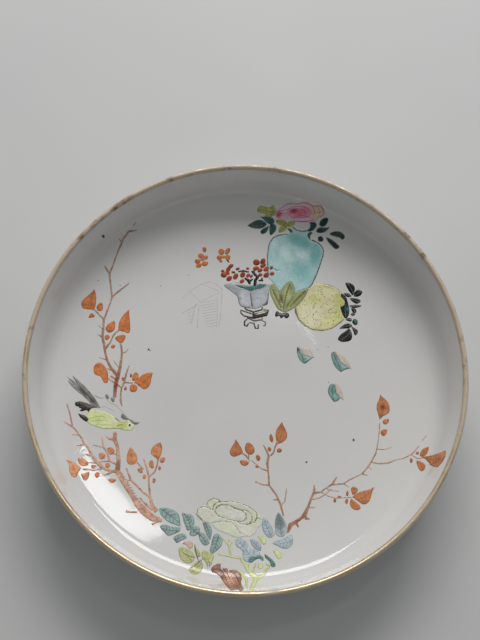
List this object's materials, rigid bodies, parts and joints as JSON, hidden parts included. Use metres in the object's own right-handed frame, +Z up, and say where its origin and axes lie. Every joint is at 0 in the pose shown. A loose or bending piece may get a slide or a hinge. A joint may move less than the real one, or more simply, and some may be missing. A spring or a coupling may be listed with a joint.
{
  "type": "hand painted porcelain saucer dish",
  "caption": "Round shallow porcelain dish with an upright wall, gilt lip and turned foot ring, painted inside in overglaze enamels with a vase, fruit, flowers and a bird on twigs.",
  "frame": {"origin": "centre of the plane that the foot ring rests on", "axes": "+Z up along the dish's axis, +Y towards the top of the painting, +X to the painting's right"},
  "size_m": [0.2303, 0.2304, 0.0402],
  "materials": {
    "porcelain_body": "unglazed porcelain paste, bare only on the foot ring's rest",
    "glaze_coat": "clear warm grey-white glaze, glossy",
    "glaze_base": "clear warm grey-white glaze, glossy",
    "gilt_rim": "worn fired gilding, thin",
    "pink_peony": "overglaze enamel, vitreous, slightly raised",
    "peony_green_leaves": "overglaze enamel, vitreous, slightly raised",
    "peony_dark_leaves_left": "overglaze enamel, vitreous, slightly raised",
    "peony_dark_leaves_right": "overglaze enamel, vitreous, slightly raised",
    "turquoise_vase": "overglaze enamel, vitreous, slightly raised",
    "vase_lines": "overglaze enamel, vitreous, slightly raised",
    "leaf_wrap": "overglaze enamel, vitreous, slightly raised",
    "leaf_wrap_veins": "overglaze enamel, vitreous, slightly raised",
    "vase_foot": "overglaze enamel, vitreous, slightly raised",
    "citron": "overglaze enamel, vitreous, slightly raised",
    "citron_line": "overglaze enamel, vitreous, slightly raised",
    "citron_leaves": "overglaze enamel, vitreous, slightly raised",
    "flowerpot": "overglaze enamel, vitreous, slightly raised",
    "flowerpot_soil": "overglaze enamel, vitreous, slightly raised",
    "flowerpot_lines": "overglaze enamel, vitreous, slightly raised",
    "pot_stand": "overglaze enamel, vitreous, slightly raised",
    "flower_stems": "overglaze enamel, vitreous, slightly raised",
    "red_flowers": "overglaze enamel, vitreous, slightly raised",
    "floating_blossoms": "overglaze enamel, vitreous, slightly raised",
    "book_box_lines": "overglaze enamel, vitreous, slightly raised",
    "caltrop_shells": "overglaze enamel, vitreous, slightly raised",
    "caltrop_kernels": "overglaze enamel, vitreous, slightly raised",
    "upper_left_twigs": "overglaze enamel, vitreous, slightly raised",
    "upper_left_leaves": "overglaze enamel, vitreous, slightly raised",
    "bird_body": "overglaze enamel, vitreous, slightly raised",
    "bird_wing": "overglaze enamel, vitreous, slightly raised",
    "bird_tail": "overglaze enamel, vitreous, slightly raised",
    "bird_head": "overglaze enamel, vitreous, slightly raised",
    "lower_left_twigs": "overglaze enamel, vitreous, slightly raised",
    "lower_left_leaves": "overglaze enamel, vitreous, slightly raised",
    "middle_twigs": "overglaze enamel, vitreous, slightly raised",
    "middle_leaves": "overglaze enamel, vitreous, slightly raised",
    "right_twigs": "overglaze enamel, vitreous, slightly raised",
    "right_leaves": "overglaze enamel, vitreous, slightly raised",
    "pale_peony": "overglaze enamel, vitreous, slightly raised",
    "pale_peony_lines": "overglaze enamel, vitreous, slightly raised",
    "teal_leaves_left": "overglaze enamel, vitreous, slightly raised",
    "light_green_leaves": "overglaze enamel, vitreous, slightly raised",
    "leaf_bud": "overglaze enamel, vitreous, slightly raised",
    "rock_stump": "overglaze enamel, vitreous, slightly raised",
    "green_stems": "overglaze enamel, vitreous, slightly raised",
    "blue_leaves_right": "overglaze enamel, vitreous, slightly raised",
    "dark_leaf_tips": "overglaze enamel, vitreous, slightly raised"
  },
  "bodies": {
    "root": {"porcelain_body": "porcelain_body", "glaze_coat": "glaze_coat", "glaze_base": "glaze_base", "gilt_rim": "gilt_rim", "pink_peony": "pink_peony", "peony_green_leaves": "peony_green_leaves", "peony_dark_leaves_left": "peony_dark_leaves_left", "peony_dark_leaves_right": "peony_dark_leaves_right", "turquoise_vase": "turquoise_vase", "vase_lines": "vase_lines", "leaf_wrap": "leaf_wrap", "leaf_wrap_veins": "leaf_wrap_veins", "vase_foot": "vase_foot", "citron": "citron", "citron_line": "citron_line", "citron_leaves": "citron_leaves", "flowerpot": "flowerpot", "flowerpot_soil": "flowerpot_soil", "flowerpot_lines": "flowerpot_lines", "pot_stand": "pot_stand", "flower_stems": "flower_stems", "red_flowers": "red_flowers", "floating_blossoms": "floating_blossoms", "book_box_lines": "book_box_lines", "caltrop_shells": "caltrop_shells", "caltrop_kernels": "caltrop_kernels", "upper_left_twigs": "upper_left_twigs", "upper_left_leaves": "upper_left_leaves", "bird_body": "bird_body", "bird_wing": "bird_wing", "bird_tail": "bird_tail", "bird_head": "bird_head", "lower_left_twigs": "lower_left_twigs", "lower_left_leaves": "lower_left_leaves", "middle_twigs": "middle_twigs", "middle_leaves": "middle_leaves", "right_twigs": "right_twigs", "right_leaves": "right_leaves", "pale_peony": "pale_peony", "pale_peony_lines": "pale_peony_lines", "teal_leaves_left": "teal_leaves_left", "light_green_leaves": "light_green_leaves", "leaf_bud": "leaf_bud", "rock_stump": "rock_stump", "green_stems": "green_stems", "blue_leaves_right": "blue_leaves_right", "dark_leaf_tips": "dark_leaf_tips"}
  },
  "joints": []
}
